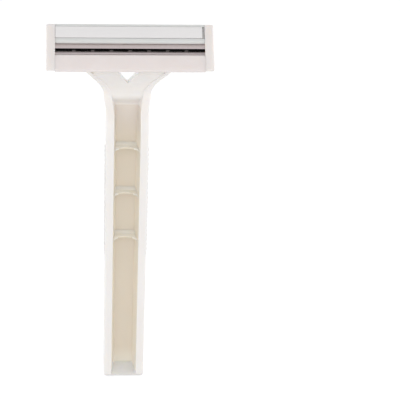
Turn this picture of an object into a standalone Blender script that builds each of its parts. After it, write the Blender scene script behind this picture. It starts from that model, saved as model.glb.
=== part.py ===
# Twin blade disposable razor, standing on the flat end of its handle.
# X runs across the blades, -Y is the side that shaves, +Z is up the handle.
# The head is drawn in its own tilted frame: X across, Y into the head from the shaving face, Z up that face.

import math

import bmesh
import bpy
from mathutils import Matrix, Vector

mm = 0.001

# Handle: a trough, open at the front, with a sloping strip down each side of its flat back
grip_length = 80.0 * mm
grip_width = 11.6 * mm
grip_depth = 8.6 * mm
slope_width = 2.0 * mm
slope_depth = 2.8 * mm
back_edge_radius = 0.6 * mm
end_radius = 1.2 * mm
rim_edge_radius = 0.3 * mm
web_thickness = 1.6 * mm
rim_width = 2.2 * mm
channel_draft = 0.7 * mm
channel_corner_radius = 0.5 * mm
end_wall = 0.9 * mm
channel_past_grip = 3.4 * mm
channel_end_bend = 1.4 * mm

# Cross ribs inside the trough, hollowed at the front
rib_count = 3
rib_pitch = 13.3 * mm
rib_below_neck = 10.0 * mm
rib_thickness = 1.0 * mm
rib_root = 0.4 * mm
rib_hollow_radius = 3.4 * mm
rib_middle_height = 3.4 * mm

# Raised grip lines across the back and fine teeth down both rims
line_count = 8
line_pitch = 5.18 * mm
line_below_neck = 7.5 * mm
line_length = 6.2 * mm
line_width = 0.55 * mm
line_height = 0.18 * mm
line_root = 0.3 * mm
tooth_count = 23
tooth_pitch = 1.4 * mm
tooth_below_neck = 9.6 * mm
tooth_height = 0.25 * mm
tooth_width = 0.6 * mm
tooth_run = 4.6 * mm
tooth_from_rim = 0.6 * mm

# Neck: thins, leans forward and spreads into two arms round a triangular opening
neck_length = 15.2 * mm
neck_bend = 11.0 * mm
neck_lean = math.tan(math.radians(32.2))
neck_depth = 3.3 * mm
neck_slope_depth = 1.9 * mm
neck_recess = 0.25 * mm
neck_rim_width = 1.1 * mm
neck_swell = 0.6 * mm
shoulder_width = 24.8 * mm
shoulder_depth = 5.2 * mm
shoulder_hollow = 4.5 * mm
shoulder_slope_depth = 4.4 * mm
hollow_least_wall = 0.9 * mm
opening_height = 6.1 * mm
opening_width = 9.7 * mm
opening_below_shoulder = 0.7 * mm
opening_corner_radius = 0.35 * mm

# Plate: the flat end of the handle, which carries the head
plate_width = 21.5 * mm
plate_top_width = 20.8 * mm
plate_height = 7.38 * mm
plate_thickness = 1.3 * mm
plate_lean = math.tan(math.radians(17.2))
plate_bend = 3.0 * mm
plate_step = 0.1 * mm
plate_root = 0.3 * mm
plate_bevel_width = 0.9 * mm
plate_bevel_depth = 0.6 * mm
plate_edge_radius = 0.2 * mm
window_spacing = 12.1 * mm
window_radius = 2.2 * mm
window_notch = 1.0 * mm
window_notch_height = 1.4 * mm
window_below_top = 2.85 * mm
lug_sunk = 0.3 * mm

# Head: a moulded frame with a guard bar, closed at both ends by caps
head_width = 43.0 * mm
head_height = 13.5 * mm
head_depth = 4.85 * mm
head_tilt = math.radians(35.0)
head_top_fall = 0.1 * mm
rail_height = 1.1 * mm
rail_over_plate = 0.25 * mm
end_cap_width = 2.3 * mm
end_cap_rise = 0.26 * mm
end_cap_proud = 0.15 * mm
end_cap_heel = 5.2 * mm
end_cap_corner_radius = 0.42 * mm
end_cap_edge_radius = 0.35 * mm
end_cap_peg_radius = 0.6 * mm
end_cap_peg_length = 1.4 * mm
guard_height = 5.25 * mm
guard_depth = 2.6 * mm
guard_rear_height = 6.0 * mm
guard_heel = 2.4 * mm
guard_edge_radius = 0.4 * mm
guard_top_radius = 0.45 * mm
guard_step = 0.6 * mm
frame_floor = 0.8 * mm
frame_edge_radius = 0.3 * mm
small_radius = 0.15 * mm
ear_thickness = 0.45 * mm
ear_bulge = 0.95 * mm
ear_gap = 0.1 * mm
ear_height = 5.8 * mm
spot_radius = 1.7 * mm
rinse_hole = 1.5 * mm
rinse_below_top = 0.7 * mm

# Blades, their spacer, and the cap over them
blade_angle = math.radians(24.0)
blade_width = 6.2 * mm
blade_thickness = 0.12 * mm
blade_edge_width = 0.5 * mm
lower_edge_up = 5.43 * mm
lower_edge_in = 0.30 * mm
blade_rise = 1.45 * mm
blade_step = 0.18 * mm
spacer_setback = 0.85 * mm
spacer_width = 5.2 * mm
spacer_slot_count = 7
spacer_slot_pitch = 4.8 * mm
spacer_slot_length = 0.9 * mm
spacer_slot_width = 0.22 * mm
cap_lip_height = 1.27 * mm
cap_cover = 1.47 * mm
cap_heel = 0.2 * mm
cap_behind_blade = 0.3 * mm
cap_edge_radius = 0.2 * mm
recess_edge_radius = 0.1 * mm
post_spacing = 31.2 * mm
post_up = 9.8 * mm
post_radius = 0.55 * mm
post_head_radius = 1.5 * mm
post_head_height = 0.8 * mm

# Lubricating strip, laid in a recess of the cap
strip_height = 2.84 * mm
strip_thickness = 0.75 * mm
strip_proud = 0.12 * mm
strip_shift = 0.15 * mm
strip_end_play = 0.35 * mm
strip_groove = 0.3 * mm
strip_edge_radius = 0.2 * mm

# Clearances between pieces that touch on the real razor
fit_gap = 0.1 * mm
post_gap = 0.15 * mm
blade_end_gap = 0.2 * mm
snap_gap = 0.3 * mm
lug_gap = 0.15 * mm

# Modelling values: how far a cut runs past its work, and how finely curves are divided
overrun = 2.0 * mm
arc_steps = 4
neck_step = 1.0 * mm
end_shares = (0.0, 0.08, 0.3, 0.6, 1.0)
half_round_steps = 12
ear_steps = 10
round_sides = 24

for old in list(bpy.data.objects):
    bpy.data.objects.remove(old, do_unlink=True)

part_collection = bpy.data.collections.new("disposable_razor")
cutter_collection = bpy.data.collections.new("razor_cutters")
for made in (part_collection, cutter_collection):
    bpy.context.scene.collection.children.link(made)


def material(name, colour, roughness, metallic=0.0):
    made = bpy.data.materials.new(name)
    made.use_nodes = True
    shader = made.node_tree.nodes["Principled BSDF"]
    shader.inputs["Base Color"].default_value = (*colour, 1.0)
    shader.inputs["Roughness"].default_value = roughness
    shader.inputs["Metallic"].default_value = metallic
    return made


white_plastic = material("white_moulded_plastic", (0.86, 0.83, 0.78), 0.35)
cap_plastic = material("cap_moulded_plastic", (0.80, 0.80, 0.78), 0.35)
black_plastic = material("black_moulded_plastic", (0.012, 0.012, 0.012), 0.4)
blade_steel = material("ground_blade_steel", (0.56, 0.55, 0.54), 0.2, 1.0)
strip_polymer = material("lubricating_polymer", (0.74, 0.74, 0.75), 0.55)


# Curves that the handle follows
def ease(value, start, end):
    share = min(max((value - start) / (end - start), 0.0), 1.0)
    return share * share * (3.0 - 2.0 * share)


def ramp(value, start, bend):
    past = value - start
    if past <= 0.0:
        return 0.0
    if past < bend:
        return past * past / (2.0 * bend)
    return past - bend / 2.0


thinning_z = grip_length - neck_length / 4
narrow_z = grip_length + neck_length / 3
middle_z = grip_length + neck_length / 2
shoulder_z = grip_length + neck_length
plate_start_z = shoulder_z - neck_length / 7
plate_top_z = shoulder_z + plate_height
channel_end_z = grip_length + channel_past_grip


def back_y(z):
    lean = neck_lean * ramp(z, grip_length, neck_bend)
    return grip_depth / 2 - lean + (neck_lean - plate_lean) * ramp(z, plate_start_z, plate_bend)


def outer_half(z):
    swell = neck_swell * ease(z, grip_length, narrow_z)
    spread = shoulder_width / 2 - grip_width / 2 - neck_swell
    return grip_width / 2 + swell + spread * ease(z, narrow_z, shoulder_z)


def along_neck(grip, neck, shoulder, z):
    """Goes smoothly from the grip's value to the neck's, and on to the shoulder's."""
    to_neck = ease(z, thinning_z, middle_z)
    to_shoulder = ease(z, middle_z, shoulder_z)
    return grip + (neck - grip) * to_neck + (shoulder - neck) * to_shoulder


def side_slope(z):
    at_shoulder = (shoulder_width - plate_width) / 2 + plate_bevel_width
    return slope_width + (at_shoulder - slope_width) * ease(z, grip_length, shoulder_z)


def wall_depth(z):
    return along_neck(grip_depth, neck_depth, shoulder_depth, z)


def web(z):
    """How thick the handle is behind its trough, which ends below the neck in a shallow recess."""
    filled = ease(z, channel_end_z - channel_end_bend, channel_end_z + channel_end_bend)
    hollowed = ease(z, shoulder_z - shoulder_hollow, shoulder_z)
    thick = web_thickness + (wall_depth(z) - neck_recess - web_thickness) * filled
    return thick + (plate_thickness + 2 * plate_step - thick) * hollowed


def rim(z):
    return rim_width + (neck_rim_width - rim_width) * ease(z, channel_end_z, shoulder_z)


def edge_radius(z):
    return back_edge_radius + (plate_edge_radius - back_edge_radius) * ease(z, grip_length, shoulder_z)


def end_inset(z):
    if z >= end_radius:
        return 0.0
    return end_radius - math.sqrt(end_radius**2 - (end_radius - z) ** 2)


# Outlines: corners are (across, up, radius), and each one with a radius becomes an arc
def rounded(corners):
    points = []
    for index, (x, y, radius) in enumerate(corners):
        here = Vector((x, y))
        before = Vector(corners[index - 1][:2]) - here
        after = Vector(corners[(index + 1) % len(corners)][:2]) - here
        if radius <= 0.0:
            points.append(here)
            continue
        half = before.angle(after) / 2
        reach = radius / math.tan(half)
        start = here + before.normalized() * reach
        finish = here + after.normalized() * reach
        centre = here + (before.normalized() + after.normalized()).normalized() * radius / math.sin(half)
        turn = (start - centre).angle_signed(finish - centre)
        for step in range(arc_steps + 1):
            angle = -turn * step / arc_steps
            points.append(centre + Matrix.Rotation(angle, 2) @ (start - centre))
    return points


# Objects
def place(obj, collection, parent=None):
    collection.objects.link(obj)
    obj.parent = parent
    return obj


def as_cutter(obj):
    obj.hide_render = True
    obj.display_type = "WIRE"
    return obj


# Planes that an outline is drawn in, as the directions of its across, its up and its thickness
plane_level = Matrix(((1, 0, 0), (0, 1, 0), (0, 0, 1))).to_4x4()
plane_upright = Matrix(((1, 0, 0), (0, 0, -1), (0, 1, 0))).to_4x4()
plane_side = Matrix(((0, 0, 1), (1, 0, 0), (0, 1, 0))).to_4x4()


def slab(name, points, thickness, plane, centre, look=None, parent=None):
    """A flat outline with a thickness, centred on its plane. Without a look it is a cutter."""
    curve = bpy.data.curves.new(name, "CURVE")
    curve.dimensions = "2D"
    curve.fill_mode = "BOTH"
    curve.extrude = thickness / 2
    spline = curve.splines.new("POLY")
    spline.points.add(len(points) - 1)
    for knot, point in zip(spline.points, points):
        knot.co = (point[0], point[1], 0.0, 1.0)
    spline.use_cyclic_u = True
    drawn = bpy.data.objects.new(name + "_outline", curve)
    bpy.context.scene.collection.objects.link(drawn)
    drawn.matrix_world = Matrix.Translation(centre) @ plane
    bpy.context.view_layer.update()
    evaluated = drawn.evaluated_get(bpy.context.evaluated_depsgraph_get())
    mesh = bpy.data.meshes.new_from_object(evaluated)
    shape = bmesh.new()
    shape.from_mesh(mesh)
    bmesh.ops.remove_doubles(shape, verts=shape.verts, dist=1e-7)
    bmesh.ops.recalc_face_normals(shape, faces=shape.faces)
    shape.to_mesh(mesh)
    shape.free()
    mesh.name = name
    made = bpy.data.objects.new(name, mesh)
    made.matrix_world = drawn.matrix_world.copy()
    bpy.data.objects.remove(drawn, do_unlink=True)
    mesh.materials.clear()
    if look is None:
        return as_cutter(place(made, cutter_collection, parent))
    mesh.materials.append(look)
    return place(made, part_collection, parent)


def loft(name, sections, look=None):
    """Joins level sections, each a height and its outline, from the lowest to the highest."""
    shape = bmesh.new()
    rows = [[shape.verts.new((p[0], p[1], z)) for p in points] for z, points in sections]
    for lower, upper in zip(rows, rows[1:]):
        for index, corner in enumerate(lower):
            after = (index + 1) % len(lower)
            shape.faces.new((corner, lower[after], upper[after], upper[index]))
    shape.faces.new(rows[0])
    shape.faces.new(rows[-1])
    bmesh.ops.remove_doubles(shape, verts=shape.verts, dist=1e-7)
    bmesh.ops.recalc_face_normals(shape, faces=shape.faces)
    mesh = bpy.data.meshes.new(name)
    shape.to_mesh(mesh)
    shape.free()
    made = bpy.data.objects.new(name, mesh)
    if look is None:
        return as_cutter(place(made, cutter_collection))
    mesh.materials.append(look)
    return place(made, part_collection)


def round_bar(name, radius, length, centre, parent, turn="X"):
    """A cylinder, from front to back or turned to lie across, used as a cutter or joined to a piece."""
    shape = bmesh.new()
    turned = Matrix.Rotation(math.radians(90), 4, turn)
    size = {"radius1": radius, "radius2": radius, "depth": length}
    bmesh.ops.create_cone(shape, cap_ends=True, segments=round_sides, matrix=turned, **size)
    mesh = bpy.data.meshes.new(name)
    shape.to_mesh(mesh)
    shape.free()
    made = bpy.data.objects.new(name, mesh)
    made.location = centre
    return as_cutter(place(made, cutter_collection, parent))


def boolean(piece, other, operation):
    change = piece.modifiers.new(other.name, "BOOLEAN")
    change.object = other
    change.operation = operation
    change.solver = "EXACT"


def cut(piece, *others):
    for other in others:
        boolean(piece, other, "DIFFERENCE")


def join(piece, *others):
    for other in others:
        boolean(piece, other, "UNION")


def soften(piece, width):
    change = piece.modifiers.new("edges", "BEVEL")
    change.width = width
    change.segments = 2
    change.limit_method = "ANGLE"
    change.angle_limit = math.radians(40)


def smooth(piece):
    piece.data.shade_smooth()
    piece.data.set_sharp_from_angle(angle=math.radians(35))


# The handle's sections at one height
def bevelled(half, front, waist, flat, back, radius):
    """A box in section, with both back corners cut off between its waist and its flat back."""
    right = ((half, front, rim_edge_radius), (half, waist, radius), (flat, back, radius))
    left = [(-x, y, r) for x, y, r in right[::-1]]
    return rounded(right + tuple(left))


def handle_section(z):
    inset = end_inset(z)
    half = outer_half(z) - inset
    front = back_y(z) - wall_depth(z) + inset
    waist = back_y(z) - along_neck(slope_depth, neck_slope_depth, shoulder_slope_depth, z)
    return bevelled(half, front, waist, half - side_slope(z), back_y(z) - inset, edge_radius(z))


def plate_half(z):
    return (plate_width + (plate_top_width - plate_width) * (z - shoulder_z) / plate_height) / 2


def plate_section(z):
    half = plate_half(z)
    back = back_y(z) - plate_step
    waist = back - plate_bevel_depth
    return bevelled(half, back - plate_thickness, waist, half - plate_bevel_width, back, plate_edge_radius)


def channel_half(z):
    return outer_half(z) - rim(z)


def channel_section(z):
    floor = back_y(z) - web(z)
    front = back_y(z) - wall_depth(z)
    slope = channel_draft / (grip_depth - web_thickness)
    mouth = channel_half(z) + slope * overrun
    slope_height = along_neck(slope_depth, neck_slope_depth, shoulder_slope_depth, z)
    outside = outer_half(z) - side_slope(z) * max(1.0 - web(z) / slope_height, 0.0)
    base = min(channel_half(z) - slope * (floor - front), outside - hollow_least_wall)
    return rounded(
        (
            (mouth, front - overrun, 0.0),
            (base, floor, channel_corner_radius),
            (-base, floor, channel_corner_radius),
            (-mouth, front - overrun, 0.0),
        )
    )


def heights(start, end, step):
    count = max(1, math.ceil((end - start) / step - 1e-6))
    return [start + (end - start) * index / count for index in range(count + 1)]


def make_handle():
    end_rows = [end_radius * share for share in end_shares]
    body = heights(thinning_z, shoulder_z, neck_step)
    handle = loft("handle", [(z, handle_section(z)) for z in end_rows + body], white_plastic)
    channel_rows = [end_wall] + heights(thinning_z, channel_end_z, neck_step)
    channel_rows += heights(channel_end_z, channel_end_z + channel_end_bend, neck_step / 2)[1:]
    channel_rows += heights(channel_end_z + channel_end_bend, shoulder_z + overrun, neck_step)[1:]
    plate_rows = heights(shoulder_z - plate_root, plate_top_z, 2 * neck_step)
    cut(handle, loft("handle_channel", [(z, channel_section(z)) for z in channel_rows]))
    join(handle, loft("handle_plate", [(z, plate_section(z)) for z in plate_rows]))
    cut(handle, make_opening(), *make_windows())
    join(handle, *make_ribs(), *make_lines(), *make_teeth())
    smooth(handle)
    return handle


def make_opening():
    top = shoulder_z - opening_below_shoulder
    corners = (
        (0.0, top - opening_height, opening_corner_radius),
        (opening_width / 2, top, opening_corner_radius),
        (-opening_width / 2, top, opening_corner_radius),
    )
    through = 2 * (grip_depth + shoulder_depth)
    return slab("neck_opening", rounded(corners), through, plane_upright, (0, 0, 0))


def half_moon(radius, side, notch=0.0, notch_height=0.0):
    """A half disc, flat side down, with a square notch at the bottom of its outer side if it has one."""
    lift = math.asin(notch_height / radius)
    arc = heights(lift, math.pi, (math.pi - lift) / half_round_steps)
    points = [(radius * math.cos(angle), radius * math.sin(angle)) for angle in arc[:-1]]
    points.append((-radius, 0.0))
    if notch > 0.0:
        points += [(radius + notch, 0.0), (radius + notch, notch_height)]
    return [Vector((side * x, up)) for x, up in points]


window_base_z = plate_top_z - window_below_top
past_head = 4 * head_depth


def make_windows():
    made = []
    for name, side in (("left", -1), ("right", 1)):
        points = half_moon(window_radius, side, window_notch, window_notch_height)
        centre = (side * window_spacing / 2, back_y(window_base_z), window_base_z)
        made.append(slab(f"{name}_window", points, past_head, plane_upright, centre))
    return made


def make_ribs():
    made = []
    for index in range(rib_count):
        top = grip_length - rib_below_neck - index * rib_pitch
        floor = back_y(top) - web_thickness
        middle = floor - rib_middle_height
        side_y = middle - rib_hollow_radius
        reach = channel_half(top) + rib_root
        points = [Vector((reach, side_y)), Vector((reach, floor + rib_root))]
        points += [Vector((-reach, floor + rib_root)), Vector((-reach, side_y))]
        for angle in heights(0.0, math.pi, math.pi / half_round_steps):
            x = -rib_hollow_radius * math.cos(angle)
            points.append(Vector((x, side_y + rib_hollow_radius * math.sin(angle))))
        centre = (0, 0, top - rib_thickness / 2)
        made.append(slab(f"cross_rib_{index + 1}", points, rib_thickness, plane_level, centre))
    return made


def make_lines():
    made = []
    for index in range(line_count):
        z = grip_length - line_below_neck - index * line_pitch
        lower = [(-line_root, -line_width / 2), (0.0, -line_width / 2), (line_height, -line_width / 4)]
        upper = [(out, -up) for out, up in lower[::-1]]
        centre = (0, back_y(z), z)
        made.append(slab(f"grip_line_{index + 1}", lower + upper, line_length, plane_side, centre))
    return made


def make_teeth():
    made = []
    top = grip_length - tooth_below_neck
    peak = grip_width / 2 + tooth_height
    root = grip_width / 2 - rim_width / 2
    for name, side in (("left", -1), ("right", 1)):
        points = []
        for index in range(tooth_count):
            z = top - index * tooth_pitch
            for x, up in ((root, 2), (peak, 1), (peak, -1), (root, -2)):
                points.append(Vector((side * x, z + up * tooth_width / 4)))
        points.append(Vector((side * (root - tooth_height), z - tooth_width / 2)))
        points.append(Vector((side * (root - tooth_height), top + tooth_width / 2)))
        centre = (0, -grip_depth / 2 + tooth_from_rim + tooth_run / 2, 0)
        made.append(slab(f"{name}_teeth", points, tooth_run, plane_upright, centre))
    return made


# The head's own frame stands where its back corner meets the top of the plate
rail_low = head_height - head_top_fall - rail_height
head_origin = bpy.data.objects.new("head_origin", None)
part_collection.objects.link(head_origin)
over_plate = Vector((0.0, head_depth, head_height - head_top_fall - rail_over_plate))
over_plate.rotate(Matrix.Rotation(-head_tilt, 3, "X"))
head_origin.location = Vector((0.0, back_y(plate_top_z), plate_top_z + snap_gap)) - over_plate
head_origin.rotation_euler = (-head_tilt, 0.0, 0.0)
bpy.context.view_layer.update()

blade_along = Vector((math.sin(blade_angle), math.cos(blade_angle)))
blade_out = Vector((-math.cos(blade_angle), math.sin(blade_angle)))
lower_edge = Vector((lower_edge_in, lower_edge_up))
upper_edge = Vector((lower_edge_in - blade_step, lower_edge_up + blade_rise))
blade_lift = (upper_edge - lower_edge).dot(blade_out)
blade_lead = (upper_edge - lower_edge).dot(blade_along)
frame_half = head_width / 2 - end_cap_width - fit_gap
cap_back = upper_edge.x + blade_width * math.sin(blade_angle) + blade_thickness + cap_behind_blade
cap_low = upper_edge.y + cap_cover
strip_low = cap_low + cap_lip_height


def on_blade(along, out):
    """A point of the head's side view, from its distance along the lower blade and out of it."""
    return lower_edge + blade_along * along + blade_out * out


def in_at(up, out):
    """How far into the head a plane parallel to the blades lies, at one height of the face."""
    start = on_blade(0.0, out)
    return start.x + (up - start.y) * math.tan(blade_angle)


seat_out = -(blade_thickness + fit_gap)
floor_out = seat_out - frame_floor


def top_at(depth):
    """The height of the head's top, which falls a little towards the back."""
    return head_height - head_top_fall * depth / head_depth


def post_hole(name, side):
    centre = (side * post_spacing / 2, head_depth / 2, post_up)
    return round_bar(f"{name}_post_hole", post_radius + post_gap, past_head, centre, head_origin)


def make_head_frame():
    seat_low = guard_height + guard_step
    seat_front = in_at(seat_low, seat_out)
    wall_in = cap_back + fit_gap
    seat_top = on_blade(0.0, seat_out).y + (wall_in - on_blade(0.0, seat_out).x) / math.tan(blade_angle)
    corners = (
        (0.0, 0.0, guard_edge_radius),
        (0.0, guard_height, guard_top_radius),
        (seat_front + fit_gap, guard_height, 0.0),
        (seat_front, seat_low, 0.0),
        (wall_in, seat_top, 0.0),
        (wall_in, top_at(wall_in), small_radius),
        (head_depth, top_at(head_depth), frame_edge_radius),
        (head_depth, rail_low, 0.0),
        (in_at(rail_low, floor_out), rail_low, 0.0),
        (in_at(guard_rear_height, floor_out), guard_rear_height, 0.0),
        (guard_depth, guard_rear_height, small_radius),
        (guard_depth, guard_heel, guard_edge_radius),
    )
    outline = rounded(corners)
    frame = slab("head_frame", outline, 2 * frame_half, plane_side, (0, 0, 0), white_plastic, head_origin)
    cut(frame, make_plate_pocket())
    rear = side_trim("rear_trim", [(back_y(z) - lug_sunk, z) for z in behind_plate()], past_head, None)
    front = make_front_trim()
    for name, side in (("left", -1), ("right", 1)):
        cut(frame, make_rinse_hole(f"{name}_frame", side))
        ear = make_ear(name, side)
        lug = make_lug(name, side)
        seat = make_spot_seat(name, side)
        cut(ear, rear, front)
        cut(lug, rear, front)
        cut(seat, front)
        join(frame, ear, lug, seat)
    for name, side in (("left", -1), ("right", 1)):
        socket = end_cap_peg(f"{name}_peg_socket", side, fit_gap)
        cut(frame, make_spot_face(name, side), post_hole(f"{name}_frame", side), socket)
    return frame


def behind_plate():
    return heights(shoulder_z - overrun, plate_top_z + snap_gap, neck_step)


def side_trim(name, points, reach, parent, width=head_width):
    """A cutter across the head, from a line of points out to one side of them."""
    far = points[0][0] + reach
    outline = list(points) + [(far, points[-1][1]), (far, points[0][1])]
    return slab(name, outline, width, plane_side, (0, 0, 0), None, parent)


def make_plate_pocket():
    """Room under the head's top for the plate, a little wider than it all round."""
    front = [(back_y(z) - plate_thickness - snap_gap, z) for z in behind_plate()]
    return side_trim("plate_pocket", front, past_head, None, plate_width + 2 * snap_gap)


def make_front_trim():
    """Everything in front of the middle of the frame's floor."""
    middle = seat_out - frame_floor / 2
    bend = on_blade(0.0, middle)
    level = bend.y + (guard_depth / 2 - bend.x) / math.tan(blade_angle)
    top = (in_at(head_height, middle), head_height)
    points = [(guard_depth / 2, -overrun), (guard_depth / 2, level), top]
    return side_trim("front_trim", points, -past_head, head_origin)


def make_ear(name, side):
    """A bowed wall that stands beside the plate, on the handle's shoulder."""
    half = ear_height / 2
    radius = (half**2 + ear_bulge**2) / (2 * ear_bulge)
    sweep = math.asin(half / radius)
    centre_x = plate_width / 2 + ear_gap + ear_thickness - radius + ear_bulge
    middle = shoulder_z + snap_gap + half
    arc = heights(-sweep, sweep, 2 * sweep / ear_steps)
    points = [Vector((centre_x + radius * math.cos(a), middle + radius * math.sin(a))) for a in arc]
    inner = radius - ear_thickness
    points += [Vector((centre_x + inner * math.cos(a), middle + inner * math.sin(a))) for a in arc[::-1]]
    points = [Vector((side * p.x, p.y)) for p in points]
    return slab(f"{name}_ear", points, past_head, plane_upright, (0, back_y(middle), 0))


def make_lug(name, side):
    """A half moon that snaps into the plate's window."""
    points = half_moon(window_radius - 2 * lug_gap, side)
    centre = (side * window_spacing / 2, back_y(window_base_z), window_base_z + lug_gap)
    return slab(f"{name}_lug", points, past_head, plane_upright, centre)


spot_in = in_at(post_up, floor_out)


def make_spot_seat(name, side):
    """Fills the sloping floor to just past a level seat under a post's head."""
    centre = (side * post_spacing / 2, spot_in + fit_gap - head_depth / 2, post_up)
    return round_bar(f"{name}_spot_seat", spot_radius, head_depth, centre, head_origin)


def make_spot_face(name, side):
    """Cuts the sloping floor and what fills it down to that level seat."""
    centre = (side * post_spacing / 2, spot_in + head_depth / 2, post_up)
    return round_bar(f"{name}_spot_face", spot_radius + fit_gap, head_depth, centre, head_origin)


def make_rinse_hole(name, side):
    """A small triangle just outside the plate, through the frame's floor and the lower blade."""
    inner = plate_top_width / 2 + fit_gap
    top = plate_top_z - rinse_below_top
    points = ((inner, top), (inner + rinse_hole, top), (inner + rinse_hole, top - rinse_hole))
    points = [Vector((side * x, up)) for x, up in points]
    centre = (0, back_y(top) - past_head / 4, 0)
    return slab(f"{name}_rinse_hole", points, past_head / 2, plane_upright, centre)


def end_cap_peg(name, side, gap):
    """The peg that holds an end cap or, with a gap, the socket for it."""
    centre = (side * (head_width / 2 - end_cap_width), guard_depth / 2, guard_height / 2)
    length = 2 * (end_cap_peg_length + gap)
    return round_bar(name, end_cap_peg_radius + gap, length, centre, head_origin, "Y")


def make_end_cap(name, side):
    corners = (
        (-end_cap_proud, end_cap_rise, end_cap_corner_radius),
        (-end_cap_proud, top_at(-end_cap_proud), end_cap_corner_radius),
        (head_depth, top_at(head_depth), end_cap_corner_radius),
        (head_depth, end_cap_heel, end_cap_corner_radius),
    )
    centre = (side * (head_width / 2 - end_cap_width / 2), 0, 0)
    outline = rounded(corners)
    cap = slab(f"{name}_end_cap", outline, end_cap_width, plane_side, centre, white_plastic, head_origin)
    soften(cap, end_cap_edge_radius)
    join(cap, end_cap_peg(f"{name}_peg", side, 0.0))
    return cap


def blade_corners(lead, out, width):
    """A blade's side view: the ground edge is a wedge, and the rest is flat."""
    return (
        on_blade(lead, out - blade_thickness / 2),
        on_blade(lead + blade_edge_width, out),
        on_blade(lead + width, out),
        on_blade(lead + width, out - blade_thickness),
        on_blade(lead + blade_edge_width, out - blade_thickness),
    )


def make_blade(name, lead, out):
    points = blade_corners(lead, out, blade_width)
    blade = slab(name, points, 2 * frame_half, plane_side, (0, 0, 0), blade_steel, head_origin)
    for side_name, side in (("left", -1), ("right", 1)):
        cut(blade, post_hole(f"{name}_{side_name}", side))
        if name == "lower_blade":
            cut(blade, make_rinse_hole(f"{name}_{side_name}", side))
    return blade


def make_spacer():
    low = fit_gap
    high = blade_lift - blade_thickness - fit_gap
    start = spacer_setback
    points = (
        on_blade(start, low),
        on_blade(start + spacer_width, low),
        on_blade(start + spacer_width, high),
        on_blade(start, high),
    )
    spacer = slab("blade_spacer", points, 2 * frame_half, plane_side, (0, 0, 0), black_plastic, head_origin)
    slot_at = on_blade(spacer_setback, high)
    for index in range(spacer_slot_count):
        x = (index - (spacer_slot_count - 1) / 2) * spacer_slot_pitch
        across = spacer_slot_length / 2
        up = spacer_slot_width / 2
        points = [Vector((a * across, b * up)) for a, b in ((-1, -1), (1, -1), (1, 1), (-1, 1))]
        centre = (x, slot_at.x, slot_at.y - up)
        name = f"spacer_slot_{index + 1}"
        cut(spacer, slab(name, points, head_depth / 2, plane_upright, centre, None, head_origin))
    cut(spacer, *[post_hole(f"spacer_{name}", side) for name, side in (("left", -1), ("right", 1))])
    return spacer


def make_cap():
    under = blade_lift + fit_gap
    blade_end = on_blade(blade_lead + blade_width + blade_end_gap, under)
    recess = strip_thickness - strip_proud + fit_gap
    strip_top = strip_low + strip_groove + strip_height + fit_gap
    corners = (
        (in_at(cap_low, under), cap_low, 0.0),
        (0.0, cap_low, cap_edge_radius),
        (0.0, strip_low, recess_edge_radius),
        (recess, strip_low, 0.0),
        (recess, strip_top, 0.0),
        (0.0, strip_top, recess_edge_radius),
        (0.0, head_height, cap_edge_radius),
        (cap_back, top_at(cap_back), small_radius),
        (cap_back, blade_end.y + cap_heel, 0.0),
        (blade_end.x, blade_end.y, 0.0),
    )
    cap = slab("cap", rounded(corners), 2 * frame_half, plane_side, (0, 0, 0), cap_plastic, head_origin)
    for name, side in (("left", -1), ("right", 1)):
        x = side * post_spacing / 2
        start = (recess + in_at(post_up, under)) / 2
        end = spot_in + fit_gap + post_head_height / 2
        middle = (x, (start + end) / 2, post_up)
        shank = round_bar(f"{name}_post", post_radius, end - start, middle, head_origin)
        behind = (x, end, post_up)
        head = round_bar(f"{name}_post_head", post_head_radius, post_head_height, behind, head_origin)
        join(cap, shank, head)
    return cap


def make_strip():
    low = strip_low + strip_groove
    back = strip_thickness - strip_proud
    corners = (
        (-strip_proud, low, strip_edge_radius),
        (-strip_proud, low + strip_height, strip_edge_radius),
        (back, low + strip_height, 0.0),
        (back, low, 0.0),
    )
    length = 2 * (frame_half - strip_end_play)
    centre = (-strip_shift, 0, 0)
    return slab("lubricating_strip", rounded(corners), length, plane_side, centre, strip_polymer, head_origin)


make_handle()
make_head_frame()
make_blade("lower_blade", 0.0, 0.0)
make_spacer()
make_blade("upper_blade", blade_lead, blade_lift)
make_cap()
make_strip()
make_end_cap("left", -1)
make_end_cap("right", 1)
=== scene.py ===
import math

import bmesh
import bpy
from mathutils import Matrix, Vector


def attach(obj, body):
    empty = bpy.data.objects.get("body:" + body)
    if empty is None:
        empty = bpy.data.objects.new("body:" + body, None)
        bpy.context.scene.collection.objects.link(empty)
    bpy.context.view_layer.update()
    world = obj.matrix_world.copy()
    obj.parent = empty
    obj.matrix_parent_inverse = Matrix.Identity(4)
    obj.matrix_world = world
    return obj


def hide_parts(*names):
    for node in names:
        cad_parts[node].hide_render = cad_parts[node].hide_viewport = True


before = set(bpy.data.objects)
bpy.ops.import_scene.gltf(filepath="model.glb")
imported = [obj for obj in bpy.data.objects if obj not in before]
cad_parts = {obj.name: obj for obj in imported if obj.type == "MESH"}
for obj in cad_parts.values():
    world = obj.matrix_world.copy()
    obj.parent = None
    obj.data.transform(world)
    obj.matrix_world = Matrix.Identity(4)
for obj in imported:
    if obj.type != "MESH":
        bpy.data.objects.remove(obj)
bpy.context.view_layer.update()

# Twin blade disposable razor, upright. X runs across the blades, -Y is the side that shaves and +Z is up
# the handle. The head is drawn in its own tilted frame: across, into the head from the face that shaves,
# and up that face.

mm = 0.001
print("frame loaded:", len(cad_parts), "CAD nodes")


# Small tools for nodes and colours

def linear(hexCode):
    parts = [int(hexCode[i:i + 2], 16) / 255 for i in (1, 3, 5)]
    return tuple(p / 12.92 if p <= 0.04045 else ((p + 0.055) / 1.055) ** 2.4 for p in parts) + (1.0,)


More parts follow.
